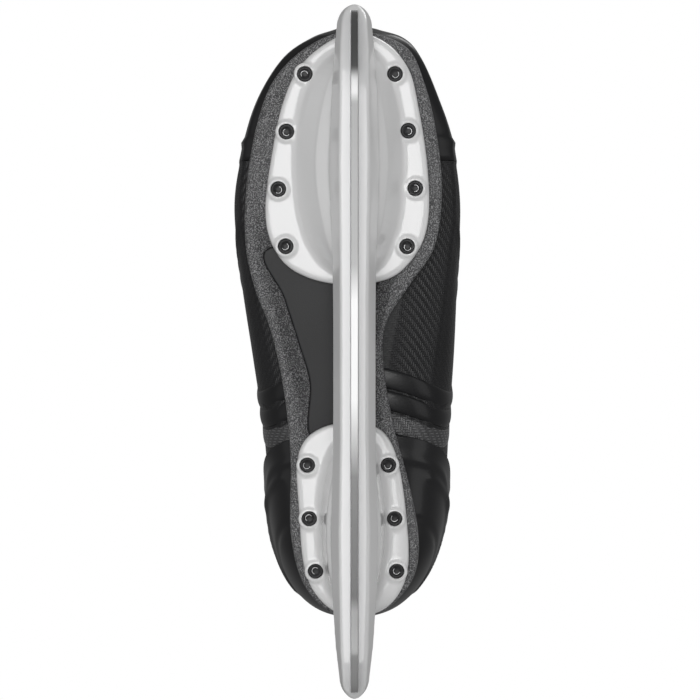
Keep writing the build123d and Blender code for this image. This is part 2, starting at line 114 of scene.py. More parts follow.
def smooth_line(points, count=12):
    """A dense line through these points, with count steps between two."""
    p = [np.array(q, float) for q in points]
    p = [2 * p[0] - p[1]] + p + [2 * p[-1] - p[-2]]
    out = [catmull(*p[i - 1:i + 3], k / count) for i in range(1, len(p) - 2) for k in range(count)]
    return [tuple(q) for q in out + [p[-2]]]


def closed_spline(points, count):
    """A dense closed ring through these points, with count steps between two."""
    p = [np.array(q, float) for q in points]
    n = len(p)
    return np.array([catmull(p[i - 1], p[i], p[(i + 1) % n], p[(i + 2) % n], k / count)
                     for i in range(n) for k in range(count)])


# Lines on the side of the boot, as x z points.
COLLAR = smooth_line([(60, 168), (5, 156), (-20, 141), (-50, 127), (-80, 128), (-105, 134), (-150, 137)])
LINER_TOP = smooth_line([(60, 176), (5, 162), (-20, 147), (-50, 133), (-78, 132), (-105, 137), (-150, 140)])
FACING = smooth_line([(90, 44), (70, 54), (46, 70), (27, 92), (9, 113), (-5, 133), (-14, 152), (-22, 175)])
COUNTER = smooth_line([(-37, 2), (-44, 12), (-62, 40), (-86, 72), (-140, 92)])
EYELETS = [(80, 56), (66, 64), (53, 75.5), (41, 89), (30, 103), (19.5, 117), (10, 131), (2, 145)]
# Creases, each with its height and its width.
QUARTER_CREASES = [
    (smooth_line([(-28, 12), (-24, 40), (-34, 72), (-56, 98), (-84, 116)]), 0.9, 2.2),
    (smooth_line([(60, 12), (30, 34), (-2, 58), (-30, 92), (-52, 120)]), 0.7, 2.6),
]
COUNTER_CREASES = [
    (smooth_line([(-60, 12), (-78, 34), (-98, 52), (-130, 66)]), 0.9, 2.0),
    (smooth_line([(-80, 8), (-96, 24), (-114, 36), (-135, 44)]), -0.7, 1.8),
    (smooth_line([(-50, 6), (-62, 22), (-84, 34), (-118, 40)]), 0.8, 2.2),
    (smooth_line([(-48, 20), (-66, 48), (-92, 68), (-135, 82)]), 0.6, 2.4),
]


def signed_power(v, e):
    return math.copysign(abs(v) ** e, v)


def hump(v, centre, width):
    """A smooth bump of height 1 at centre."""
    return math.exp(-((v - centre) / width) ** 2)


def bisect(low, high, test, rounds=30):
    """The last place between low and high where test is still true."""
    for _ in range(rounds):
        mid = (low + high) / 2
        if test(mid):
            low = mid
        else:
            high = mid
    return low


def on_side_angle(u, side):
    """A medial angle, or its mirror on the lateral side."""
    return u if side > 0 else math.pi - u


def bottom_angle(side):
    return DOWN if side > 0 else DOWN + 2 * math.pi


def station(s):
    """The section at s, which counts the rows of STATIONS."""
    last = len(STATIONS) - 1
    s = min(max(s, 0.0), last + 0.4)
    i = min(int(s), last - 1)
    b, c = STATIONS[i], STATIONS[i + 1]
    a = STATIONS[i - 1] if i > 0 else 2 * b - c
    d = STATIONS[i + 2] if i < last - 1 else 2 * c - b
    return catmull(a, b, c, d, s - i)


def surface(s, u, grow):
    """A point of the boot form, grown outward; u is the angle round the section, down at -90 degrees."""
    bx, bz, tx, tz, lat, med, belly, low, high = station(s)
    tall = math.hypot(tx - bx, tz - bz)
    n, share = (high, 1 - belly) if math.sin(u) >= 0 else (low, belly)
    reach = med if math.cos(u) >= 0 else lat
    across = (reach + grow) * signed_power(math.cos(u), 2 / n)
    k = belly - 0.5 + signed_power(math.sin(u), 2 / n) * (tall * share + grow) / tall
    x = (bx + tx) / 2 + (tx - bx) * k
    return x * (HEEL_STRETCH if x < 0 else 1.0), across * WIDTH_STRETCH, (bz + tz) / 2 + (tz - bz) * k


def angle_at(s, h, side, grow=0.0):
    """The angle where section s has the height share h."""
    bx, bz, tx, tz, lat, med, belly, low, high = station(s)
    tall = math.hypot(tx - bx, tz - bz)
    n, share = (high, 1 - belly) if h >= belly else (low, belly)
    value = max(-1.0, min(1.0, (h - belly) * tall / (tall * share + grow)))
    return on_side_angle(math.asin(signed_power(value, n / 2)), side)


def edge_angle(s, width, side):
    """The upper angle where section s has this half width."""
    lat, med, _, _, high = station(s)[4:]
    value = min(1.0, width / (med if side > 0 else lat))
    return on_side_angle(math.acos(value ** (high / 2)), side)


def crossing(s, line, from_top=False):
    """The height share where section s crosses a side line, or None."""
    bx, bz, tx, tz = station(s)[:4]
    found = []
    for (x0, z0), (x1, z1) in zip(line, line[1:]):
        dx, dz, ex, ez = tx - bx, tz - bz, x1 - x0, z1 - z0
        det = dx * ez - dz * ex
        if abs(det) < 1e-9:
            continue
        h = ((x0 - bx) * ez - (z0 - bz) * ex) / det
        t = ((x0 - bx) * dz - (z0 - bz) * dx) / det
        if -1e-6 <= t <= 1 + 1e-6 and 0 <= h <= 1:
            found.append(h)
    if not found:
        return None
    return max(found) if from_top else min(found)


def section_through(x, z, low, high, rounds):
    """The section between low and high that holds x, z."""
    def before(s):
        bx, bz, tx, tz = station(s)[:4]
        return (tx - bx) * (z - bz) - (tz - bz) * (x - bx) > 0
    return bisect(low, high, before, rounds)


def on_side(x, z, side, grow):
    """The surface point that is at x, z seen from the side."""
    s = section_through(x, z, 0.0, 14.0, 40)
    bx, bz, tx, tz = station(s)[:4]
    h = ((x - bx) * (tx - bx) + (z - bz) * (tz - bz)) / ((tx - bx) ** 2 + (tz - bz) ** 2)
    return surface(s, angle_at(s, h, side), grow)


# ------------------------------------------------------------------ mesh helpers
def new_object(name, verts, faces, smooth=True):
    mesh = bpy.data.meshes.new(name)
    mesh.from_pydata([tuple(v) for v in verts], [], faces)
    mesh.update()
    if smooth:
        mesh.polygons.foreach_set("use_smooth", [True] * len(mesh.polygons))
    ob = bpy.data.objects.new(name, mesh)
    bpy.context.collection.objects.link(ob)
    return ob


def outward(ob):
    """Welds points that meet, and turns every face outward."""
    bm = bmesh.new()
    bm.from_mesh(ob.data)
    bmesh.ops.remove_doubles(bm, verts=bm.verts, dist=2e-6)
    bmesh.ops.recalc_face_normals(bm, faces=bm.faces)
    bm.to_mesh(ob.data)
    bm.free()
    return ob


def modified(ob, kind, **settings):
    """Applies one modifier with these settings."""
    modifier = ob.modifiers.new(kind.lower(), kind)
    for key, value in settings.items():
        setattr(modifier, key, value)
    graph = bpy.context.evaluated_depsgraph_get()
    mesh = bpy.data.meshes.new_from_object(ob.evaluated_get(graph))
    ob.modifiers.clear()
    ob.data = mesh
    mesh.polygons.foreach_set("use_smooth", [True] * len(mesh.polygons))
    return ob


def join(name, obs):
    """One object of the meshes of these, which are removed."""
    verts, faces = [], []
    for ob in obs:
        faces += [tuple(len(verts) + i for i in p.vertices) for p in ob.data.polygons]
        verts += [tuple(v.co) for v in ob.data.vertices]
        bpy.data.objects.remove(ob)
    return new_object(name, verts, faces)


def cut(ob, cutters):
    tool = join("cutter", cutters)
    modified(ob, "BOOLEAN", operation="DIFFERENCE", object=tool, solver="EXACT")
    bpy.data.objects.remove(tool)
    return ob


def grid_faces(rows, cols, closed=False, looped=False):
    """Quads over a grid of points; closed joins its last column to the first, and looped its last row."""
    faces = []
    for i in range(rows if looped else rows - 1):
        a, b = i * cols, (i + 1) % rows * cols
        for j in range(cols if closed else cols - 1):
            k = (j + 1) % cols
            faces.append((a + j, a + k, b + k, b + j))
    return faces


def lofted(name, rings):
    """A solid through these rings of world points, capped at both ends."""
    cols = len(rings[0])
    faces = grid_faces(len(rings), cols, closed=True)
    faces.append(tuple(range(cols - 1, -1, -1)))
    faces.append(tuple((len(rings) - 1) * cols + k for k in range(cols)))
    return outward(new_object(name, [p for ring in rings for p in ring], faces))


def slab(name, outer, inner, bevel):
    """A closed panel between two grids of boot plane points, with its rim edges rounded."""
    rows, cols = len(outer), len(outer[0])
    n = rows * cols
    faces = grid_faces(rows, cols)
    faces += [tuple(n + i for i in reversed(f)) for f in faces]
    rim = list(range(cols))
    rim += [i * cols + cols - 1 for i in range(1, rows)]
    rim += [(rows - 1) * cols + j for j in range(cols - 2, -1, -1)]
    rim += [i * cols for i in range(rows - 2, 0, -1)]
    faces += [(b, a, n + a, n + b) for a, b in zip(rim, rim[1:] + rim[:1])]
    ob = outward(new_object(name, [to_world(*p) for row in outer + inner for p in row], faces))
    if bevel:
        modified(ob, "BEVEL", width=bevel * MM, segments=3, limit_method="ANGLE",
                 angle_limit=math.radians(50), use_clamp_overlap=True)
    return ob


def sheet(name, rows, cols, row, bevel):
    """A slab of rows by cols points. row(f) gives a function from g to an outer and an inner point."""
    outer, inner = [], []
    for i in range(rows):
        pair = row(i / (rows - 1))
        points = [pair(j / (cols - 1)) for j in range(cols)]
        outer.append([p for p, _ in points])
        inner.append([q for _, q in points])
    return slab(name, outer, inner, bevel)


def tube(name, points, radius, sides, flat=1.0, up=None):
    """A round or flattened cord along these world points."""
    pts = [Vector(p) for p in points]
    rings, side = [], None
    for i, p in enumerate(pts):
        t = (pts[min(i + 1, len(pts) - 1)] - pts[max(i - 1, 0)]).normalized()
        if up is not None or side is None:
            base = Vector(up or (0.0, 0.0, 1.0))
        else:
            base = side.cross(t)
        side = t.cross(base)
        if side.length < 1e-5:
            side = t.cross(Vector((0.3, 1, 0.2)))
        side.normalize()
        out = side.cross(t) * flat
        turns = [2 * math.pi * k / sides for k in range(sides)]
        rings.append([p + radius * (side * math.cos(a) + out * math.sin(a)) for a in turns])
    return lofted(name, rings)


def dense(points, step):
    """Points along a world polyline, at most about this many metres apart."""
    out = [points[0]]
    for a, b in zip(points, points[1:]):
        count = max(1, int((b - a).length / step))
        out += [a.lerp(b, (k + 1) / count) for k in range(count)]
    return out


def stitches(name, line, step=0.0004, length=6, gap=2):
    """A row of thread stitches along a world line; length and gap count steps."""
    pts = dense(line, step)
    starts = range(0, len(pts) - length, length + gap)
    return join(name, [tube("stitch", pts[i:i + length + 1:2], 0.32 * MM, 6) for i in starts])


def inset(ring, amount):
    """A closed 2-D ring moved in by amount."""
    nxt, prv = np.roll(ring, -1, 0), np.roll(ring, 1, 0)
    t = nxt - prv
    t /= np.linalg.norm(t, axis=1)[:, None]
    normal = np.stack([-t[:, 1], t[:, 0]], 1)
    area = np.sum(ring[:, 0] * nxt[:, 1] - nxt[:, 0] * ring[:, 1])
    return ring + normal * (amount if area > 0 else -amount)


def plate(name, ring, levels):
    """A solid plate in the boot plane: the 2-D ring at each (inset, height) level."""
    return lofted(name, [[to_world(x, y, h) for x, y in inset(ring, amount)] for amount, h in levels])


def circle(place, radius, height, sides):
    turns = [2 * math.pi * k / sides for k in range(sides)]
    return [place(radius * math.cos(a), radius * math.sin(a), height) for a in turns]


def revolve(name, profile, place, sides=32):
    """A solid of revolution from (radius, height) points; place maps them to the world."""
    return lofted(name, [circle(place, radius, height, sides) for radius, height in profile])


def about(x, y):
    """Places points round x, y of the boot plane."""
    return lambda a, b, h: to_world(x + a, y + b, h)


# ------------------------------------------------------------------ materials
def node(tree, kind, inputs=None, **settings):
    """A shader node; an input given as a socket is linked to it, and any other is a value."""
    made = tree.nodes.new("ShaderNode" + kind)
    for key, value in settings.items():
        setattr(made, key, value)
    for key, value in (inputs or {}).items():
        if isinstance(value, bpy.types.NodeSocket):
            tree.links.new(value, made.inputs[key])
        else:
            made.inputs[key].default_value = value
    return made


def map_range(tree, value, low, high, to_low=0.0, to_high=1.0):
    ends = {"From Min": low, "From Max": high, "To Min": to_low, "To Max": to_high}
    return node(tree, "MapRange", {"Value": value, **ends}).outputs["Result"]


def object_coords(tree):
    return [n for n in tree.nodes if n.type == "TEX_COORD"][0].outputs["Object"]


def blend_colour(tree, share, other):
    """Mixes another colour, a socket or a value, into the base colour."""
    base = tree.nodes["Principled BSDF"].inputs["Base Color"]
    inputs = {"Factor": share, "A": base.links[0].from_socket, "B": other}
    tree.links.new(node(tree, "Mix", inputs, data_type="RGBA").outputs["Result"], base)


def bump(tree, height, strength, distance):
    """Lays a bump over the one that the material already has."""
    normal = tree.nodes["Principled BSDF"].inputs["Normal"]
    made = node(tree, "Bump", {"Height": height, "Strength": strength, "Distance": distance})
    if normal.links:
        tree.links.new(normal.links[0].from_socket, made.inputs["Normal"])
    tree.links.new(made.outputs["Normal"], normal)


def material(name, color, rough=0.5, metal=0.0, scale=60.0, vary=0.12, relief=0.1, relief_scale=None,
             coat=0.0, spec=0.5):
    """A finish with procedural colour, roughness and surface variation."""
    m = bpy.data.materials.new(name)
    m.use_nodes = True
    t = m.node_tree
    b = t.nodes["Principled BSDF"]
    b.inputs["Metallic"].default_value = metal
    b.inputs["Coat Weight"].default_value = coat
    b.inputs["Coat Roughness"].default_value = 0.06
    b.inputs["Specular IOR Level"].default_value = spec
    coords = node(t, "TexCoord").outputs["Object"]
    cloud = node(t, "TexNoise", {"Vector": coords, "Scale": scale, "Detail": 4.0}).outputs["Fac"]
    shade = map_range(t, cloud, 0.3, 0.7, 1 - vary, 1 + vary)
    tint = node(t, "VectorMath", {0: color, "Scale": shade}, operation="SCALE")
    t.links.new(tint.outputs["Vector"], b.inputs["Base Color"])
    roughness = map_range(t, cloud, 0.0, 1.0, max(0.02, rough - 0.06), min(1.0, rough + 0.06))
    t.links.new(roughness, b.inputs["Roughness"])
    if relief:
        grain = node(t, "TexNoise", {"Vector": coords, "Scale": relief_scale or scale * 8, "Detail": 3})
        bump(t, grain.outputs["Fac"], relief, 0.0003)
    return m


def speckle(m, light, amount, scale):
    """Adds fine light flecks to a material."""
    t = m.node_tree
    fleck = node(t, "TexNoise", {"Vector": object_coords(t), "Scale": scale, "Detail": 2}).outputs["Fac"]
    blend_colour(t, map_range(t, fleck, amount - 0.09, amount + 0.06), (*light, 1))
    return m


def weave(m, light, cell, strength):
    """Adds a twill weave of this cell in millimetres, laid along the boot, and across it plus up it."""
    t = m.node_tree
    axes = node(t, "SeparateXYZ", {"Vector": object_coords(t)}).outputs

    def op(kind, *values):
        return node(t, "Math", dict(enumerate(values)), operation=kind).outputs[0]

    x = op("DIVIDE", axes["X"], cell * MM)
    y = op("DIVIDE", op("ADD", axes["Z"], op("ABSOLUTE", axes["Y"])), cell * MM)
    cell_number = op("ADD", op("ADD", op("FLOOR", x), op("FLOOR", y)), 4000)
    turn = op("GREATER_THAN", op("MODULO", cell_number, 4), 1.5)
    from_x = op("ABSOLUTE", op("SUBTRACT", op("FRACT", x), 0.5))
    from_y = op("ABSOLUTE", op("SUBTRACT", op("FRACT", y), 0.5))
    warp = op("MULTIPLY", op("SUBTRACT", 1.0, op("MULTIPLY", from_x, 1.6)), turn)
    weft = op("MULTIPLY", op("SUBTRACT", 0.75, op("MULTIPLY", from_y, 1.6)), op("SUBTRACT", 1.0, turn))
    height = op("ADD", warp, weft)
    blend_colour(t, op("MULTIPLY", op("POWER", height, 2.0), strength), (*light, 1))
    bump(t, height, 0.5, 0.0004)
    return m


WHITE = material("holder_white", (0.83, 0.83, 0.83), rough=0.3, scale=25, vary=0.015, relief=0.02,
                 relief_scale=400, coat=0.8)
SOLE_GREY = speckle(material("outsole_grey", (0.058, 0.058, 0.06), rough=0.62, scale=120, vary=0.2,
                             relief=0.9, relief_scale=1900), (0.34, 0.34, 0.345), 0.57, 1900)
PANEL = material("arch_panel", (0.028, 0.028, 0.029), rough=0.4, scale=60, vary=0.1, relief=0.2,
                 relief_scale=1800, spec=0.2)
SHELL = weave(material("shell_composite", (0.010, 0.010, 0.011), rough=0.4, scale=60, vary=0.15, relief=0.12,
                       relief_scale=900, coat=0.1, spec=0.35), (0.035, 0.035, 0.037), 1.1, 0.22)
CARBON = weave(material("carbon_band", (0.02, 0.02, 0.021), rough=0.3, scale=60, vary=0.15, coat=0.4),
               (0.2, 0.2, 0.205), 1.3, 0.8)
CAP = material("toe_cap_black", (0.009, 0.009, 0.010), rough=0.32, scale=40, vary=0.15, relief=0.12,
               relief_scale=1600, coat=0.12, spec=0.4)
COUNTER_BLACK = material("heel_gloss", (0.009, 0.009, 0.010), rough=0.3, scale=40, relief=0.03, coat=0.15)
FACE = material("facing_leather", (0.022, 0.022, 0.024), scale=80, vary=0.2, relief=0.6, relief_scale=700)
FELT = material("tongue_felt", (0.55, 0.55, 0.53), rough=0.92, scale=220, relief=1.0, relief_scale=2600)
LINING = material("liner_microfibre", (0.075, 0.076, 0.08), rough=0.88, scale=160, vary=0.2, relief=0.8,
                  relief_scale=2200)
BINDING = material("binding", (0.03, 0.03, 0.032), rough=0.7, scale=200, vary=0.15, relief=0.6,
                   relief_scale=1500)
BED = speckle(material("footbed_foam", (0.2, 0.2, 0.21), rough=0.9, scale=90, vary=0.15, relief=0.5),
              (0.5, 0.5, 0.5), 0.64, 800)
GUARD = material("guard_plastic", (0.03, 0.03, 0.032), rough=0.38, scale=50, relief=0.15, relief_scale=900)
LACE = material("lace_white", (0.78, 0.78, 0.76), rough=0.8, scale=300, vary=0.08, relief=1.0,
                relief_scale=1800)
THREAD = material("thread", (0.3, 0.3, 0.3), rough=0.7, scale=800, vary=0.1, relief=0.3)
EYELET = material("eyelet_black", (0.06, 0.06, 0.062), rough=0.3, metal=1.0, scale=200, vary=0.15,
                  relief=0.08)
RIVET = material("rivet_black", (0.018, 0.018, 0.019), rough=0.42, scale=300, vary=0.2, spec=0.35)
# Bare metal of the rivet rims, bright enough that their open arcs are also a painted highlight.
RIVET_RIM_GLINT = material("rivet_bare_and_glint", (0.8, 0.8, 0.81), rough=0.25, metal=0.5, scale=500, vary=0.15)
BOARD = material("board_fibre", (0.28, 0.25, 0.2), rough=0.8, scale=150, relief=0.4)
BARE = material("bare_steel", (0.55, 0.56, 0.58), rough=0.3, metal=1.0, scale=200, vary=0.08, relief=0.05)
ALLOY = material("washer_alloy", (0.7, 0.7, 0.72), rough=0.35, metal=1.0, scale=200, vary=0.08, relief=0.05)
TRIGGER = material("trigger_black", (0.02, 0.02, 0.021), rough=0.4, scale=90)


def steel_material():
    """Ground steel: fine grinding lines, and on the underside the broad soft reflections of a studio,
    painted into its colour.
    """
    m = material("runner_steel", (0.74, 0.75, 0.77), rough=0.24, metal=0.8, scale=30, vary=0.05, relief=0)
    t = m.node_tree
    coords = object_coords(t)
    stretched = node(t, "Mapping", {"Vector": coords, "Scale": (40, 3000, 3000)}).outputs["Vector"]
    bump(t, node(t, "TexNoise", {"Vector": stretched, "Scale": 1.0}).outputs["Fac"], 0.25, 0.0001)
    along = map_range(t, node(t, "SeparateXYZ", {"Vector": coords}).outputs["X"], -0.158, 0.158)
    painted_reflection = node(t, "ValToRGB", {"Fac": along})
    # Painted reflection and shade: brightness of the underside from heel to toe.
    stops = [(0.0, 0.36), (0.13, 0.36), (0.15, 0.12), (0.32, 0.16), (0.43, 0.8), (0.57, 0.8), (0.62, 0.38),
             (0.85, 0.34), (0.865, 0.75), (0.885, 0.72), (0.9, 0.1), (1.0, 0.08)]
    elements = painted_reflection.color_ramp.elements
    while len(elements) < len(stops):
        elements.new(0.5)
    for element, (place, value) in zip(elements, stops):
        element.position = place
        element.color = (value, value, value, 1)
    normal = node(t, "NewGeometry").outputs["Normal"]
    under = map_range(t, node(t, "SeparateXYZ", {"Vector": normal}).outputs["Z"], -0.2, -0.35)
    # Paints the reflection ramp into the underside's colour, and lowers the metal there so that it shows.
    blend_colour(t, under, painted_reflection.outputs["Color"])
    t.links.new(map_range(t, under, 0.0, 1.0, 0.8, 0.1), t.nodes["Principled BSDF"].inputs["Metallic"])
    return m


STEEL = steel_material()


def dress(ob, mat):
    ob.data.materials.clear()
    ob.data.materials.append(mat)


def finish_piece(ob, mat, slot, *replaced):
    """Dresses a piece, hangs it on the boot body, and hides the nodes it stands in for."""
    dress(ob, mat)
    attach(ob, "boot")
    if replaced:
        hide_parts(*replaced)


# ------------------------------------------------------------------ boot panels
def raised(x, z, creases):
    """How far creases lift the side of the boot at x, z."""
    here, lift = np.array((x, z)), 0.0
    for line, height, width in creases:
        p = np.array(line)
        a, d = p[:-1], p[1:] - p[:-1]
        t = np.clip(((here - a) * d).sum(1) / (d * d).sum(1), 0, 1)
        lift += height * hump(np.min(np.linalg.norm(a + d * t[:, None] - here, axis=1)), 0.0, width)
    return lift


def panel(name, s0, s1, span, outer, inner, rows, cols, relief=None, bevel=0.5, sweep=0.0):
    """A boot panel over stations s0 to s1; span(s) gives its end angles, and sweep leans it back."""
    def row(f):
        s = s0 + (s1 - s0) * f
        a, b = span(s)

        def pair(g):
            u = a + (b - a) * g
            at = s + sweep * g ** 1.25
            lift = 0.0
            if relief:
                x, _, z = surface(at, u, 0)
                lift = relief(s, x, z)
            return surface(at, u, outer + lift), surface(at, u, inner)
        return pair
    return sheet(name, rows, cols, row, bevel)


def quarter_top(s, side, line=COLLAR, width=THROAT):
    """The wall's upper angle: the throat edge or the collar, whichever is lower; None past the collar."""
    throat = edge_angle(s, width, side)
    h = crossing(s, line)
    if h is None:
        return throat if s < 11 else None
    lower = min if side > 0 else max
    return lower(throat, angle_at(s, h, side))


def last_station(line):
    return bisect(11.0, 14.4, lambda s: crossing(s, line) is not None) - 0.002


COLLAR_END = last_station(COLLAR)
LINER_END = last_station(LINER_TOP)


def sole_bead(z):
    return 0.55 * hump(z, 10.5, 1.6)


def quarter_relief(s, x, z):
    """Creases that fade out near the sole, a bead above it, and one along the toe cap."""
    creases = raised(x, z, QUARTER_CREASES) * min(1.0, max(0.0, (z - 8) / 10))
    return creases + sole_bead(z) + 0.55 * hump(s, CAP_EDGE, 0.05)


def quarter(side, name):
    def span(s):
        return bottom_angle(side), quarter_top(s, side)
    ob = panel("quarter_" + name, CAP_EDGE + 0.01, COLLAR_END, span, 0, -2.4, 170, 56, quarter_relief)
    finish_piece(ob, SHELL, "shell", "shell_" + name)


def toe_cap():
    """The cap is closed round at the front, and has a low ridge before its back edge."""
    rows, cols = 60, 96
    angles = [2 * math.pi * j / cols for j in range(cols)]
    grid = []
    for outside, grow in ((True, 0.6), (False, -2.4)):
        for r in (0.02, 0.35, 0.65, 0.88):
            nose = 150.5 + grow + 1.2 * (1 - r * r)
            grid.append([(nose, 1 + (y - 1) * r, 19.5 + (z - 19.5) * r)
                         for _, y, z in (surface(0, u, grow) for u in angles)])
        for i in range(rows):
            s = CAP_EDGE * (i / (rows - 1)) ** 1.5
            shift = grow * (1 - min(1, s))
            ring = []
            for u in angles:
                lift = hump(s, 4.02, 0.07) if outside else 0.0
                if outside and s > 0.8:
                    lift += sole_bead(surface(s, u, grow)[2])
                x, y, z = surface(s, u, grow + lift)
                ring.append((x + shift, y, z))
            grid.append(ring)
    half = len(grid) // 2
    n = half * cols
    faces = grid_faces(half, cols, closed=True)
    faces += [tuple(n + i for i in reversed(f)) for f in faces]
    faces.append(tuple(range(cols)))
    faces.append(tuple(n + i for i in reversed(range(cols))))
    for j in range(cols):
        a, b = n - cols + j, n - cols + (j + 1) % cols
        faces.append((a, b, n + b, n + a))
    ob = outward(new_object("toe_cap_shell", [to_world(*p) for ring in grid for p in ring], faces))
    finish_piece(ob, CAP, "toe_cap", "toe_cap")


def facing_span(side, sliver=0.002):
    """A facing's angles at s, from its seam to the throat; past the seam's end only a sliver is left."""
    def span(s):
        top = quarter_top(s, side)
        h = crossing(s, FACING)
        seam = top if h is None else angle_at(s, h, side)
        lower = min if side > 0 else max
        return lower(seam, top - side * sliver), top
    return span


def facing(side, name):
    """The facing beside the throat, with a row of stitches along its seam."""
    span = facing_span(side)
    end = bisect(9.0, 12.8, lambda s: abs(span(s)[0] - span(s)[1]) > 0.0021)
    outer = 1.8
    ob = panel("facing_strip_" + name, CAP_EDGE + 0.02, end, span, outer, 0.1, 90, 14, bevel=0.4)
    finish_piece(ob, FACE, "facing", "facing_" + name)
    line = []
    for i in range(60):
        s = CAP_EDGE + 0.06 + (end - CAP_EDGE - 0.25) * i / 59
        a, b = span(s)
        width = (Vector(surface(s, b, outer)) - Vector(surface(s, a, outer))).length
        from_seam = min(0.4, 1.6 / max(width, 0.1))
        line.append(to_world(*surface(s, a + (b - a) * from_seam, outer + 0.15)))
    finish_piece(stitches("facing_stitch_" + name, line), THREAD, "facing")


def heel_counter():
    """A glossy shell round the heel, with swept creases."""
    def span(s):
        h = crossing(s, COUNTER, from_top=True) or 0.002
        return angle_at(s, h, -1) - 2 * math.pi, angle_at(s, h, 1)

    def relief(s, x, z):
        return raised(x, z, COUNTER_CREASES)
    end = bisect(9.0, 12.9, lambda s: crossing(s, COUNTER) is not None) - 0.002
    ob = panel("heel_counter_shell", 7.52, end, span, 1.8, 0.1, 120, 120, relief)
    finish_piece(ob, COUNTER_BLACK, "heel_counter", "heel_counter")


def backstay():
    """A strip of leather over the back seam, from the counter up to the collar."""
    def span(s):
        half = 0.15 - 0.015 * (s - 11)
        return DOWN - half, DOWN + half
    ob = panel("backstay", 10.9, COLLAR_END - 0.03, span, 1.1, -0.4, 60, 24, bevel=0.3)
    finish_piece(ob, FACE, "shell")


def arch_band(number, first, last, mat, side, name):
    """A raised band that wraps the arch on one side, and fades out at its top."""
    stop = angle_at(7.1, 0.44 - 0.04 * number, side)
    top_z = surface(7.1, stop, 0)[2]

    def span(s):
        return bottom_angle(side), stop

    def relief(s, x, z):
        f = min(max((s - first) / (last - first), 0), 1)
        fade = min(1.0, max(0.0, (top_z - z) / 14))
        return 0.75 * fade * max(0.0, math.sin(math.pi * f)) ** 0.6
    label = f"arch_band_{number}_{name}"
    ob = panel(label, first, last, span, 0.15, -0.4, 14, 48, relief, bevel=0, sweep=0.75)
    finish_piece(ob, mat, "shell")


def rim_line(side, first, last, line, width, grow, step):
    """World points along the throat and the collar, from one station to another."""
    places = [first + (last - first) * i / 139 for i in range(140)]
    points = [to_world(*surface(s, quarter_top(s, side, line, width), grow)) for s in places]
    return dense(points, step)[::2]


def liner(side, name):
    """Half of the liner, padded below its top, with the wall's edge binding and its own collar roll."""
    first = 3.2

    def row(f):
        s = first + (LINER_END - first) * f
        a = angle_at(s, 0.08, side) if s < 9 else bottom_angle(side)
        b = quarter_top(s, side, LINER_TOP, LINER_THROAT)

        def pair(g):
            u = a + (b - a) * g
            pad = 1.2 * hump(g, 0.85, 0.12) if s > 7 else 0
            return surface(s, u, -2.55), surface(s, u, -6.4 - pad)
        return pair
    ob = sheet("liner_" + name, 110, 44, row, 1.5)
    finish_piece(ob, LINING, "liner")
    edge = rim_line(side, CAP_EDGE + 0.02, COLLAR_END - 0.01, COLLAR, THROAT, -1.0, 0.0012)
    finish_piece(tube("edge_binding_" + name, edge, 1.55 * MM, 12), BINDING, "facing")
    edge = rim_line(side, CAP_EDGE + 0.3, LINER_END - 0.01, LINER_TOP, LINER_THROAT, -4.6, 0.002)
    finish_piece(tube("collar_roll_" + name, edge, 2.6 * MM, 14), LINING, "liner")
    return ob


def footbed():
    """The plan of the form's inside, 13 mm above the sole."""
    height, grow, count = 13, -3.0, 150
    halves = []
    for side in (1, -1):
        points = []
        for i in range(count):
            s = 0.25 + (9.75 - 0.25) * i / (count - 1)
            _, bz, _, tz = station(s)[:4]
            if bz + 0.3 <= height:
                points.append(surface(s, angle_at(s, (height - bz) / (tz - bz), side, grow), grow)[:2])
        halves.append(points)
    ring = np.array(halves[0] + halves[1][::-1])
    ob = plate("footbed_foam", ring, [(0, 11.0), (0, 13.2), (0.6, 13.8), (3, 14.0)])
    finish_piece(ob, BED, "footbed", "footbed")


def tongue():
    """Quilted felt over the throat, rounded at its top end."""
    first, last = 4.25, 12.5
    round_from = 0.97

    def row(f):
        s = first + (last - first) * f
        width = min(29.2, 0.93 * min(station(s)[4:6]))
        if f > round_from:
            width *= 1 - 0.35 * ((f - round_from) / (1 - round_from)) ** 2
        a, b = edge_angle(s, width, 1), edge_angle(s, width, -1)

        def pair(g):
            u = a + (b - a) * g
            across = math.sin(math.pi * g)
            puff = 0.9 * across ** 0.4 + 0.5 * math.sin(f * 26) ** 2 * across
            return surface(s, u, -3.6 + puff), surface(s, u, -9.6)
        return pair
    ob = sheet("tongue_felt", 150, 36, row, 1.8)
    dress(ob, FELT)
    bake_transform(ob)
    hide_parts("tongue", "tongue_top")


def at_height(u, z, grow):
    """The point of the form above the collar at this angle and height."""
    return surface(bisect(11.5, 14.39, lambda s: surface(s, u, grow)[2] < z), u, grow)


def tendon_guard():
    """Ribbed plastic above the back of the collar."""
    base, tall, outer = 136.5, 41.0, -0.3
    front_z, front_x = (138, 150, 166, 180), (-74, -80, -87, -97)

    def reach(z, side):
        """How far round from the back the guard goes at this height."""
        front = np.interp(z, front_z, front_x)
        return bisect(0.02, 1.35, lambda turn: at_height(DOWN + side * turn, z, outer)[0] < front)

    def row(f):
        z = base + tall * f
        left, right = reach(z, -1), reach(z, 1)
        rings = math.sin(f * math.pi * 7) ** 8

        def pair(g):
            u = DOWN - left + (left + right) * g
            rib = 0.5 * hump(g, 0.5, 0.06) + 0.6 * rings * math.sin(math.pi * g)
            at = z - 3.5 * abs(2 * g - 1) ** 3 * f
            return at_height(u, at, outer + rib * 0.9), at_height(u, at, -4.0)
        return pair
    ob = sheet("tendon_guard_shell", 60, 80, row, 1.2)
    dress(ob, GUARD)
    low, high = to_world(-100, 0, 134), to_world(-100, 0, 146)
    tuple(low)
    tuple(high)
    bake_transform(ob)
    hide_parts("tendon_guard")


# ------------------------------------------------------------------ lacing
EYELET_PROFILE = [(1.75, -3.2), (2.4, -3.2), (2.4, 0.0), (4.0, 0.05), (4.15, 0.35), (3.7, 0.8), (2.9, 1.05),
                  (2.1, 0.9), (1.75, 0.4)]


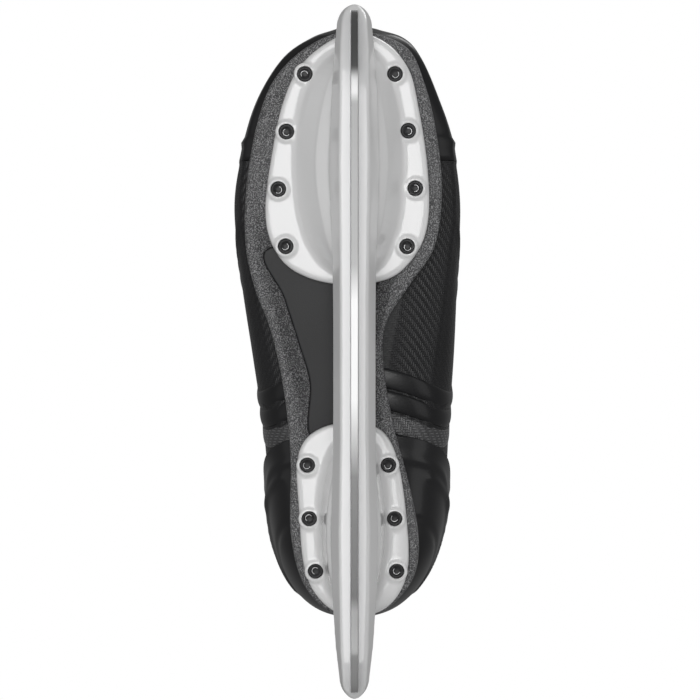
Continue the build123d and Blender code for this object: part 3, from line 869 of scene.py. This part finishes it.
def eyelet_seat(x, z, side):
    """A point on the facing, and the directions forward, up and out of it."""
    p, q, r = (Vector(on_side(x + dx, z + dz, side, 1.8)) for dx, dz in ((0, 0), (2, 0), (0, 2)))
    normal = (q - p).cross(r - p).normalized()
    if normal.y * side < 0:
        normal = -normal
    forward = (q - p).normalized()
    return p, forward, normal.cross(forward), normal


def eyelet(seat):
    p, forward, up, normal = seat
    sides = 28

    def place(a, b, h):
        return to_world(*(p + forward * a + up * b + normal * h))
    verts = [v for radius, height in EYELET_PROFILE for v in circle(place, radius, height, sides)]
    faces = grid_faces(len(EYELET_PROFILE), sides, closed=True, looped=True)
    return outward(new_object("eyelet", verts, faces))


def lace_path(seat, other, lift):
    """World points of a strand from one eyelet over the tongue to another."""
    (a, _, _, normal_a), (b, _, _, normal_b) = seat, other
    start, stop = a - normal_a, b - normal_b
    steps, points = 60, []
    for k in range(steps + 1):
        f = k / steps
        from_end = min(f, 1 - f)
        p = start.lerp(stop, f)
        if from_end > 0:
            s = section_through(p.x, p.z, 3.0, 14.0, 30)
            u = edge_angle(s, abs(p.y), 1 if p.y >= 0 else -1)
            top = Vector(surface(s, u, 3.1 + lift * math.sin(math.pi * f) ** 2))
            out = min(1.0, from_end / 0.07)
            p = p.lerp(top, out * out * (3 - 2 * out))
        p = p + (normal_a if f < 0.5 else normal_b) * (2.6 * hump(from_end, 0.03, 0.03))
        points.append(to_world(*p))
    return points


def lacing():
    """Ringed eyelets, and a flat lace that crosses between them, with a bar at the bottom and at the top."""
    seats = [[eyelet_seat(x, z, side) for side in (-1, 1)] for x, z in EYELETS]
    rings = join("eyelet_rings", [eyelet(seat) for pair in seats for seat in pair])
    finish_piece(rings, EYELET, "eyelets", "eyelets")
    cross_up = (0.6, 0, 0.8)
    strands = [(*seats[0], 0.6, (0.55, 0, 0.83))]
    for (a, b), (c, d) in zip(seats, seats[1:]):
        strands += [(a, d, 0.4, cross_up), (b, c, 2.4, cross_up)]
    strands.append((*seats[-1], 1.6, (0.7, 0, 0.7)))
    tubes = [tube("strand", lace_path(a, b, lift), 2.5 * MM, 12, 0.42, up) for a, b, lift, up in strands]
    finish_piece(join("lace_strands", tubes), LACE, "laces", "laces")


# ------------------------------------------------------------------ outsole
OUTSOLE = [
    (149, 0), (142.5, -20.5), (127, -37), (105.5, -45.5), (76, -50.5), (50, -51), (30, -47),
    (8, -39), (-20, -33), (-52, -30), (-86, -30), (-109.5, -24.5), (-123, -13), (-127, 0),
    (-123.5, 14), (-109.5, 27), (-92, 30.5), (-68, 27), (-35, 18.5), (-8, 14), (12, 15),
    (31, 26.5), (48, 37.5), (72, 41), (98, 39), (124, 33), (142, 23.5),
]
ARCH = [(48, -40), (24, -33), (2, -26), (-16, -21), (-42, -20), (-42, 8), (8, 8), (33, 12), (48, 20)]


def outsole():
    """The speckled plate, with the smooth arch panel let into its waist."""
    levels = [(3.2, 4.4), (1.0, 4.2), (0.1, 3.4), (0.0, 2.0), (0.3, 0.7), (1.1, 0.0), (2.0, 0.0)]
    ob = plate("outsole_plate", closed_spline(OUTSOLE, 10), levels)
    arch = closed_spline(ARCH, 8)
    cut(ob, [plate("recess", arch, [(0, -2), (0, 1.6)])])
    finish_piece(ob, SOLE_GREY, "outsole", "outsole")
    levels = [(0.3, 1.7), (0, 1.4), (0, 0.95), (0.35, 0.6), (0.9, 0.55)]
    finish_piece(plate("arch_panel_plate", inset(arch, 0.25), levels), PANEL, "arch_panel", "arch_panel")


# ------------------------------------------------------------------ blade holder
FRONT_FLANGE = [
    (148, 0), (142, -14.5), (130.5, -26.5), (113, -34), (90, -38.7), (67.5, -41.5), (52, -39.5), (40, -32),
    (33, -19), (30.5, -2), (33, 15), (40, 25), (52, 32.5), (67.5, 35), (90, 33.7), (113, 30), (130.5, 25.5),
    (143, 15),
]
REAR_FLANGE = [
    (-34, 0), (-35.5, -13), (-42, -23), (-54, -27), (-75, -26), (-98, -24.3), (-112, -20), (-122, -11),
    (-125.5, 1), (-122, 14), (-112, 22.5), (-98, 25.6), (-75, 24.2), (-54, 21), (-42, 16.5), (-36, 10),
]
FRONT_RIVETS = [(128.6, -23), (101.9, -31.6), (75.2, -35.4), (48.6, -32), (128.6, 18.9), (102.3, 25.1),
                (75.6, 28.4), (48.6, 24.6)]
REAR_RIVETS = [(-53.8, -22), (-79, -21.1), (-103.8, -18.2), (-53.8, 16), (-79, 18.9), (-103.8, 19.9)]

# The rail along its length, as (x, value): its underside, its top, and its half widths there and between.
RAIL_BOTTOM = [(-157.5, 27.5), (-154, 24.0), (-148, 21.2), (-142, 20), (118, 20), (128, 21.0), (136, 23),
               (143, 26), (149, 29), (154, 33), (157.5, 38)]
RAIL_TOP = [(-157.5, 32.5), (-150, 34.2), (-142, 35.6), (-134, 37), (-128, 40), (-122, 44), (-40, 36.5),
            (36, 36.5), (60, 44), (128, 47), (140, 46.8), (148, 46), (154, 44.2), (157.5, 41)]
LOW_HALF = [(-157.5, 5.0), (-148, 5.4), (-136, 6.2), (-110, 6.7), (-84, 7.0), (-40, 6.3), (20, 6.3),
            (84, 7.0), (120, 6.6), (140, 6.2), (150, 5.6), (157.5, 5.0)]
MID_HALF = [(-157.5, 6.0), (-148, 7.0), (-136, 8.5), (-110, 10.2), (-84, 10.6), (-40, 9.7), (10, 9.7),
            (40, 9.9), (84, 11.4), (120, 10.2), (140, 9.0), (148, 8.2), (157.5, 7.2)]
TOP_HALF = [(-157.5, 4.6), (-136, 5.6), (-110, 6.6), (-40, 6.6), (36, 6.6), (120, 6.8), (148, 6.4),
            (157.5, 5.6)]

# Levels of the towers: the plane that the height is in, height, centre x, half length, lateral and medial
# half width, squareness.
FRONT_TOWER = [
    (world_mm, 24, 84, 50, 6.5, 6.5, 1.6), (world_mm, 30.6, 85, 53, 10.6, 10.6, 1.6),
    (world_mm, 35.2, 86, 54, 18.0, 15.6, 1.75), (world_mm, 36.0, 86, 54, 18.4, 15.9, 1.8),
    (to_world, -8.6, 87, 52, 25.0, 20.4, 2.2), (to_world, -6.0, 87.5, 52.6, 27.0, 22.0, 2.3),
    (to_world, -4.5, 88, 54.5, 29.4, 24.4, 2.35), (to_world, -2.0, 88, 54.5, 29.4, 24.4, 2.35),
]
REAR_TOWER = [
    (world_mm, 24, -86, 40, 6.5, 6.5, 1.6), (world_mm, 31, -86, 43, 10.0, 10.0, 1.6),
    (world_mm, 34.2, -85, 43, 12.8, 12.2, 1.8), (world_mm, 35.0, -84.6, 43, 13.1, 12.4, 1.85),
    (to_world, -8.6, -80.5, 40.4, 15.4, 14.2, 2.2), (to_world, -6.0, -80, 41, 16.8, 15.4, 2.3),
    (to_world, -4.5, -80, 42.2, 18.6, 17.2, 2.35), (to_world, -2.0, -80, 42.2, 18.6, 17.2, 2.35),
]
# Room for the steel and its release, as x from and to, z from and to, and half width.
SLOTS = [(-156.3, 156.9, 0, 31.1, 1.6), (142, 156.7, 28, 33.4, 1.6), (90, 118, 25, 51, 1.6),
         (-99, -73, 25, 53, 1.6), (-79, -25, 37.3, 55, 3.5)]


def flange(outline, rivets):
    """The pieces of a riveted flange with a boss round each rivet, and the cutters of the rivet bores."""
    levels = [(0.2, -0.05), (0.0, -0.5), (0.0, -2.9), (0.35, -3.7), (1.2, -4.3), (2.6, -4.55), (6, -4.6)]
    boss = [(5.2, -2.0), (5.2, -4.9), (4.9, -5.4), (4.4, -5.55)]
    bore = [(3.75, -2.45), (3.75, -9)]
    pieces = [plate("flange", closed_spline(outline, 10), levels)]
    pieces += [revolve("boss", boss, about(x, y)) for x, y in rivets]
    return pieces, [revolve("bore", bore, about(x, y)) for x, y in rivets]


def rail_value(x, table):
    return float(np.interp(x, *zip(*table)))


def rail_section(x):
    """World points round the rail at x, which narrows to a rounded tip at both ends."""
    tip = math.sqrt(max(0.0, 1 - (max(0.0, abs(x) - 149.5) / 8.0) ** 2)) + 0.02
    low, high = rail_value(x, RAIL_BOTTOM), rail_value(x, RAIL_TOP)
    low_half = max(1.0, rail_value(x, LOW_HALF) * tip)
    mid_half = max(1.1, rail_value(x, MID_HALF) * tip)
    top_half = max(1.05, rail_value(x, TOP_HALF) * tip)
    mid = min(low + 10.5, low + (high - low) * 0.62)
    half = [
        (low_half - 0.7, low), (low_half, low + 0.6), (mid_half - 0.25, mid - 0.5), (mid_half, mid + 0.2),
        (mid_half - 0.5, mid + 1.0), (top_half, high - 0.7), (top_half - 1.0, high),
    ]
    past_steel = math.copysign(2.0 * max(0, abs(x) - 140) / 17.5, x)
    return [world_mm(x + past_steel, y, z) for y, z in half + [(-y, z) for y, z in reversed(half)]]


def rail():
    steps = 220
    places = [-HALF * math.cos(math.pi * k / steps) for k in range(steps + 1)]
    return lofted("rail", [rail_section(x) for x in places])


def tower(levels, sides=72):
    rings = []
    for place, height, centre, half, lateral, medial, power in levels:
        ring = []
        for k in range(sides):
            a = 2 * math.pi * k / sides
            width = medial if math.sin(a) > 0 else lateral
            x = centre + half * signed_power(math.cos(a), 2 / power)
            ring.append(place(x, width * signed_power(math.sin(a), 2 / power), height))
        rings.append(ring)
    return lofted("tower", rings)


def slot_box(x0, x1, z0, z1, half):
    verts = [world_mm(x, y, z) for x in (x0, x1) for y in (-half, half) for z in (z0, z1)]
    faces = [(0, 1, 3, 2), (4, 6, 7, 5), (0, 4, 5, 1), (2, 3, 7, 6), (0, 2, 6, 4), (1, 5, 7, 3)]
    return outward(new_object("slot", verts, faces))


def blade_holder():
    """Flanges, rail and towers melted into one moulding, with its bores and slots cut afterwards."""
    front, front_bores = flange(FRONT_FLANGE, FRONT_RIVETS)
    rear, rear_bores = flange(REAR_FLANGE, REAR_RIVETS)
    body = join("holder_body", front + rear + [rail(), tower(FRONT_TOWER), tower(REAR_TOWER)])
    modified(body, "REMESH", mode="VOXEL", voxel_size=0.0006)
    modified(body, "SMOOTH", factor=0.5, iterations=5)
    cut(body, front_bores + rear_bores)
    for box in SLOTS:
        cut(body, [slot_box(*box)])
    finish_piece(body, WHITE, "blade_holder", "blade_holder")


# ------------------------------------------------------------------ rivets
RIVET_PROFILE = [(2.3, 9), (2.3, -2.3), (3.6, -2.45), (3.6, -2.9), (3.2, -3.25), (2.6, -3.35), (2.2, -3.1),
                 (1.9, -2.75), (0.8, -2.55)]


def clinch_glint_ring(place, x, y, start):
    """An open ring of bare metal round a rivet's hollow; its bright open arc is also a painted highlight on
    the rim.
    """
    steps, sides = 40, 8
    rings = []
    for k in range(steps):
        a = start + 1.15 * math.pi * k / (steps - 1)
        ring = []
        for c in range(sides):
            b = 2 * math.pi * c / sides
            r = 1.55 + 0.16 * math.cos(b)
            ring.append(place(x + r * math.cos(a), y + r * math.sin(a), -3.0 + 0.28 * math.sin(b)))
        rings.append(ring)
    return lofted("clinch", rings)


def rivets():
    random.seed(7)
    bodies, rims = [], []
    for x, y in FRONT_RIVETS + REAR_RIVETS:
        off_x, off_y = random.uniform(-0.35, 0.35), random.uniform(-0.35, 0.35)
        # Each rim's painted highlight arc sits off centre and starts at a random turn.
        start = random.uniform(0, 2 * math.pi)
        bodies.append(revolve("rivet", RIVET_PROFILE, about(x, y)))
        rims.append(clinch_glint_ring(about(x, y), off_x, off_y, start))
    finish_piece(join("rivet_bodies", bodies), RIVET, "rivets", "rivets")
    finish_piece(join("rivet_rims_and_glint", rims), RIVET_RIM_GLINT, "rivets")


# ------------------------------------------------------------------ the skate
CARRIED = {
    "insole_board": BOARD, "anchor_pin": BARE, "pivot_pin": BARE, "rivet_washers": ALLOY, "runner": STEEL,
    "trigger": TRIGGER, "trigger_spring": BARE,
}
BANDS = [(6.83, 7.03, CAP), (7.05, 7.25, CAP), (7.27, 7.48, CARBON)]

for side, name in SIDES:
    quarter(side, name)
toe_cap()
for side, name in SIDES:
    facing(side, name)
heel_counter()
backstay()
for number, (first, last, mat) in enumerate(BANDS, 1):
    for side, name in SIDES:
        arch_band(number, first, last, mat, side, name)
liners = [liner(side, name) for side, name in SIDES]
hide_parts("liner")
footbed()
tongue()
tendon_guard()
lacing()
outsole()
blade_holder()
rivets()
for name, mat in CARRIED.items():
    materials = frame["nodes"][name].data.materials
    materials.clear()
    materials.append(mat)

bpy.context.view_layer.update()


# ------------------------------------------------------------------ studio
def pale_floor():
    """A pale floor that only the camera sees, and only from above."""
    m = bpy.data.materials.new("floor_pale")
    m.use_nodes = True
    t = m.node_tree
    b = t.nodes["Principled BSDF"]
    b.inputs["Base Color"].default_value = (0.5, 0.5, 0.5, 1)
    b.inputs["Roughness"].default_value = 0.9
    b.inputs["Emission Color"].default_value = (1, 1, 1, 1)
    b.inputs["Emission Strength"].default_value = 0.58
    back = node(t, "NewGeometry").outputs["Backfacing"]
    facing_up = node(t, "Math", {0: 1.0, 1: back}, operation="SUBTRACT").outputs[0]
    camera_ray = node(t, "LightPath").outputs["Is Camera Ray"]
    seen = node(t, "Math", {0: camera_ray, 1: facing_up}, operation="MULTIPLY").outputs[0]
    clear = node(t, "BsdfTransparent").outputs[0]
    shader = node(t, "MixShader", {"Fac": seen, 1: clear, 2: b.outputs[0]}).outputs[0]
    t.links.new(shader, t.nodes["Material Output"].inputs["Surface"])
    reach, below = 1.5, -0.0008
    verts = [(x * reach, y * reach, below) for x, y in ((-1, -1), (1, -1), (1, 1), (-1, 1))]
    floor = new_object("floor", verts, [(0, 1, 2, 3)], smooth=False)
    floor.data.materials.append(m)


def white_world():
    """White to the camera, and dim as a light."""
    world = bpy.data.worlds.new("studio")
    bpy.context.scene.world = world
    world.use_nodes = True
    t = world.node_tree
    dim = t.nodes["Background"]
    dim.inputs["Color"].default_value = (1, 1, 1, 1)
    dim.inputs["Strength"].default_value = 0.2
    bright = node(t, "Background", {"Color": (1, 1, 1, 1), "Strength": 1.0}).outputs[0]
    camera_ray = node(t, "LightPath").outputs["Is Camera Ray"]
    shader = node(t, "MixShader", {"Fac": camera_ray, 1: dim.outputs[0], 2: bright}).outputs[0]
    t.links.new(shader, t.nodes["World Output"].inputs["Surface"])


def area(name, place, target, width, power, height=None):
    data = bpy.data.lights.new(name, "AREA")
    data.energy = power
    data.shape = "RECTANGLE"
    data.size = width
    data.size_y = height or width
    ob = bpy.data.objects.new(name, data)
    bpy.context.collection.objects.link(ob)
    ob.location = place
    ob.rotation_euler = (Vector(target) - Vector(place)).to_track_quat("-Z", "Y").to_euler()
    ob.visible_camera = False
    return ob


def lights():
    low, mid = (0, 0, 0.06), (0, 0, 0.1)
    area("below", (0.1, -0.15, -1.3), low, 0.9, 10)
    area("below_left", (0.0, -1.0, -0.75), low, 1.4, 0.9, 0.9)
    area("below_right", (0.05, 1.0, -0.75), low, 1.2, 1.4, 0.6)
    area("above", (0.3, -0.35, 1.2), mid, 0.9, 10).visible_glossy = False
    area("front", (1.0, 0.5, 0.5), mid, 0.6, 5)
    area("back", (-0.9, 0.7, 0.8), mid, 0.7, 6).visible_glossy = False


def camera():
    """Straight below the skate, toe up in the picture."""
    distance, shift, frame_width = 1.1, -0.002, 0.31196
    data = bpy.data.cameras.new("camera")
    data.sensor_width = 36
    data.lens = data.sensor_width * distance / frame_width
    data.clip_end = 10
    ob = bpy.data.objects.new("camera", data)
    bpy.context.collection.objects.link(ob)
    ob.matrix_world = Matrix(((0, 1, 0, 0), (1, 0, 0, shift), (0, 0, -1, -distance), (0, 0, 0, 1)))
    bpy.context.scene.camera = ob


pale_floor()
white_world()
lights()
camera()
view = bpy.context.scene.view_settings
view.view_transform = "Standard"
view.look = "None"
